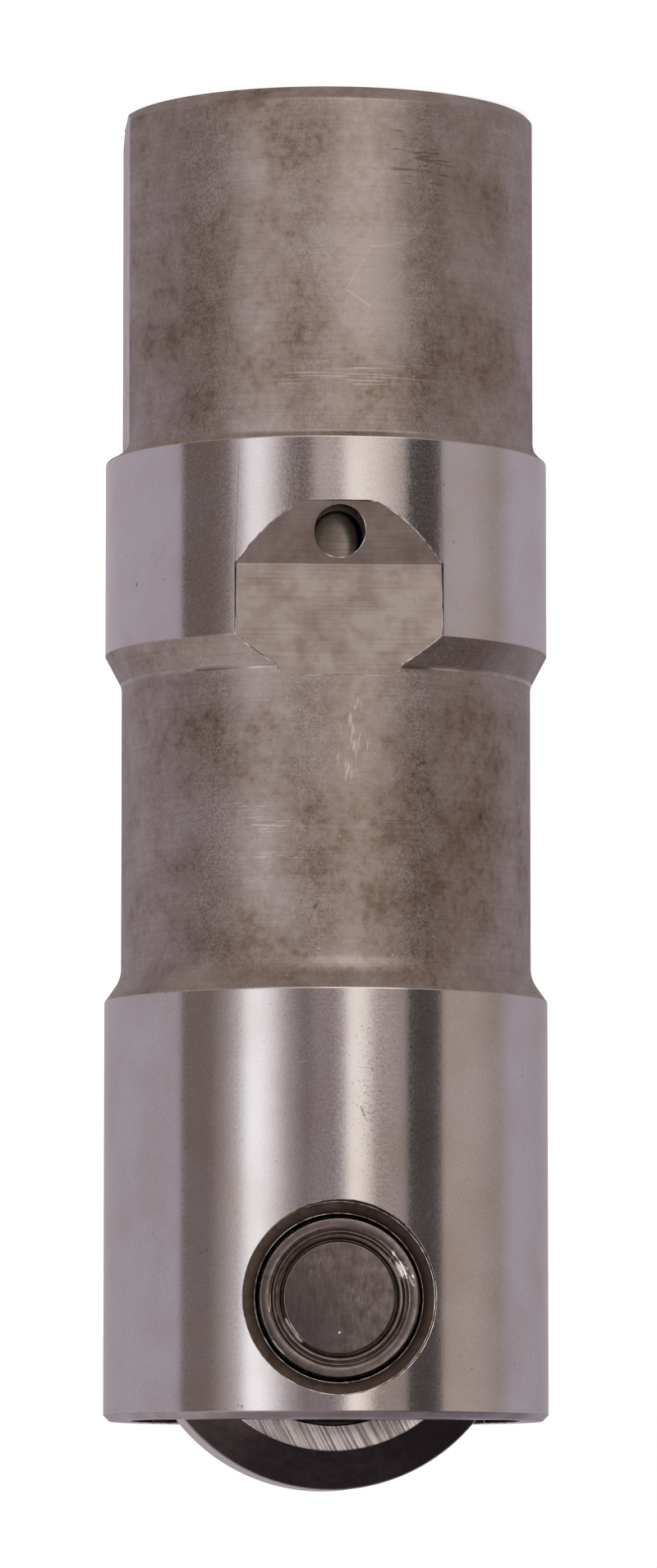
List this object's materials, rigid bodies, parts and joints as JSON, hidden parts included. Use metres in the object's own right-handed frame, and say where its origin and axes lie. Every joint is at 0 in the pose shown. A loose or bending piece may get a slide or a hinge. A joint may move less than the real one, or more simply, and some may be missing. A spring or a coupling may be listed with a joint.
{
  "type": "hydraulic roller valve lifter",
  "caption": "Hydraulic roller valve lifter: stepped steel body with milled oil pocket, neck flats, needle-bearing cam roller on a swaged axle, sprung plunger and pushrod seat.",
  "frame": {"origin": "centre of the open end's flat annular face, which the lifter stands on", "axes": "+Z along the lifter's axis from the open pushrod end to the roller, -Y out of the milled oil pocket and along the roller's axle, +X out of one anti-rotation flat"},
  "size_m": [0.0214, 0.0214, 0.0665],
  "materials": {
    "ground_steel": "hardened steel, lands ground bright, neck and waist left turned and oil-stained",
    "axle_steel": "dark hardened pin, end face staked",
    "roller_steel": "bearing steel, cones polished dark, side face ground",
    "needle_steel": "bearing steel, polished",
    "ring_steel": "spring wire, oiled",
    "seat_steel": "hardened steel, socket polished",
    "disc_steel": "thin blanked spring steel",
    "plunger_steel": "hardened steel, ground outside",
    "ball_steel": "polished bearing ball",
    "cage_steel": "stamped sheet steel",
    "spring_wire": "drawn spring wire"
  },
  "bodies": {
    "body": {"lifter_body": "ground_steel", "roller_axle": "axle_steel", "retaining_ring": "ring_steel", "plunger_spring": "spring_wire"},
    "roller": {"cam_roller": "roller_steel"},
    "needle_set": {"needle_01": "needle_steel", "needle_02": "needle_steel", "needle_03": "needle_steel", "needle_04": "needle_steel", "needle_05": "needle_steel", "needle_06": "needle_steel", "needle_07": "needle_steel", "needle_08": "needle_steel", "needle_09": "needle_steel", "needle_10": "needle_steel", "needle_11": "needle_steel", "needle_12": "needle_steel", "needle_13": "needle_steel", "needle_14": "needle_steel", "needle_15": "needle_steel", "needle_16": "needle_steel", "needle_17": "needle_steel"},
    "plunger_group": {"plunger": "plunger_steel", "pushrod_seat": "seat_steel", "metering_disc": "disc_steel", "ball_retainer": "cage_steel", "check_spring": "spring_wire"},
    "ball": {"check_ball": "ball_steel"}
  },
  "joints": [
    {"name": "roller_spin", "type": "hinge", "parent": "body", "child": "roller", "pos_m": [0, 0, 0.05757], "axis": [0, 1, 0], "continuous": true},
    {"name": "needle_orbit", "type": "hinge", "parent": "body", "child": "needle_set", "pos_m": [0, 0, 0.05757], "axis": [0, 1, 0], "continuous": true},
    {"name": "plunger_slide", "type": "slide", "parent": "body", "child": "plunger_group", "axis": [0, 0, 1], "range_m": [0, 0.0042], "stiffness_N_per_m": 250, "springref_m": -0.004, "deforming": ["plunger_spring"]},
    {"name": "check_ball_lift", "type": "slide", "parent": "plunger_group", "child": "ball", "axis": [0, 0, 1], "range_m": [0, 0.0003], "stiffness_N_per_m": 5, "springref_m": -0.001, "deforming": ["check_spring"]}
  ],
  "couplings": [
    {"joint": "needle_orbit", "follows": "roller_spin", "ratio": 0.59}
  ]
}
